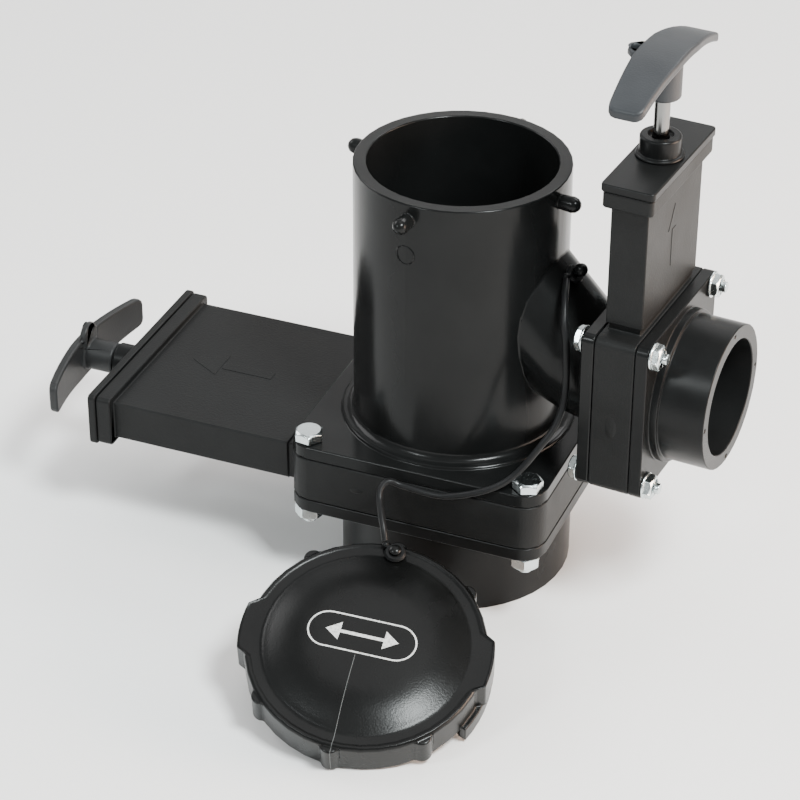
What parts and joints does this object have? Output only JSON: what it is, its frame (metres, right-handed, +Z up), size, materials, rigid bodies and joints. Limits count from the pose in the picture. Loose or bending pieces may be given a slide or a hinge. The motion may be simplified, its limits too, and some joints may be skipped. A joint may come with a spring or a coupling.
{
  "type": "waste valve",
  "caption": "Waste gate valve with an upright bayonet outlet, a side inlet, sliding blades with T-handles and a tethered dust cap",
  "frame": {"origin": "centre of the foot of the whole object's box, on the surface that the lower hub and the cap lie on", "axes": "+Z up along the upright pipe's axis, +X towards the side inlet, -X the way the main blade is pulled, -Y the side where the dust cap lies"},
  "size_m": [0.3026, 0.2223, 0.2564],
  "materials": {
    "body_abs": "semi-gloss moulded black ABS",
    "housing_abs": "fine-textured moulded black ABS",
    "blade_plastic": "smooth moulded black plastic",
    "handle_plastic": "satin moulded black plastic",
    "seal_rubber": "soft moulded black rubber",
    "stainless_rod": "drawn stainless steel",
    "zinc_fastener": "bright zinc-plated steel",
    "tether_plastic": "flexible black plastic"
  },
  "bodies": {
    "valve_stack": {"tee_body": "body_abs", "main_valve_body": "housing_abs", "main_housing_end_plate": "body_abs", "main_gland": "body_abs", "main_rod_seal": "seal_rubber", "main_seal_lower": "seal_rubber", "main_seal_upper": "seal_rubber", "main_hub_flange": "body_abs", "main_bolt_1": "zinc_fastener", "main_bolt_2": "zinc_fastener", "main_bolt_3": "zinc_fastener", "main_bolt_4": "zinc_fastener", "main_nut_1": "zinc_fastener", "main_nut_2": "zinc_fastener", "main_nut_3": "zinc_fastener", "main_nut_4": "zinc_fastener", "side_valve_body": "housing_abs", "side_housing_end_plate": "body_abs", "side_gland": "body_abs", "side_rod_seal": "seal_rubber", "side_seal_inner": "seal_rubber", "side_seal_outer": "seal_rubber", "side_hub_flange": "body_abs", "side_bolt_1": "zinc_fastener", "side_bolt_2": "zinc_fastener", "side_bolt_3": "zinc_fastener", "side_bolt_4": "zinc_fastener", "side_nut_1": "zinc_fastener", "side_nut_2": "zinc_fastener", "side_nut_3": "zinc_fastener", "side_nut_4": "zinc_fastener", "tether_tee_loop": "tether_plastic", "tether": "tether_plastic"},
    "main_gate": {"main_blade": "blade_plastic", "main_rod": "stainless_rod", "main_rod_pin": "stainless_rod", "main_handle": "handle_plastic"},
    "side_gate": {"side_blade": "blade_plastic", "side_rod": "stainless_rod", "side_rod_pin": "stainless_rod", "side_handle": "handle_plastic"},
    "cap": {"dust_cap": "body_abs", "cap_seal": "seal_rubber", "tether_cap_loop": "tether_plastic"}
  },
  "joints": [
    {"name": "main_blade_slide", "type": "slide", "parent": "valve_stack", "child": "main_gate", "axis": [-1, 0, 0], "range_m": [0, 0.083]},
    {"name": "side_blade_slide", "type": "slide", "parent": "valve_stack", "child": "side_gate", "axis": [0, 0, 1], "range_m": [0, 0.047]},
    {"name": "cap_swing", "type": "hinge", "parent": "valve_stack", "child": "cap", "pos_m": [0.02792, -0.02179, 0.04999], "axis": [-0.9432, -0.3322, 0], "range_deg": [0, 60]}
  ]
}
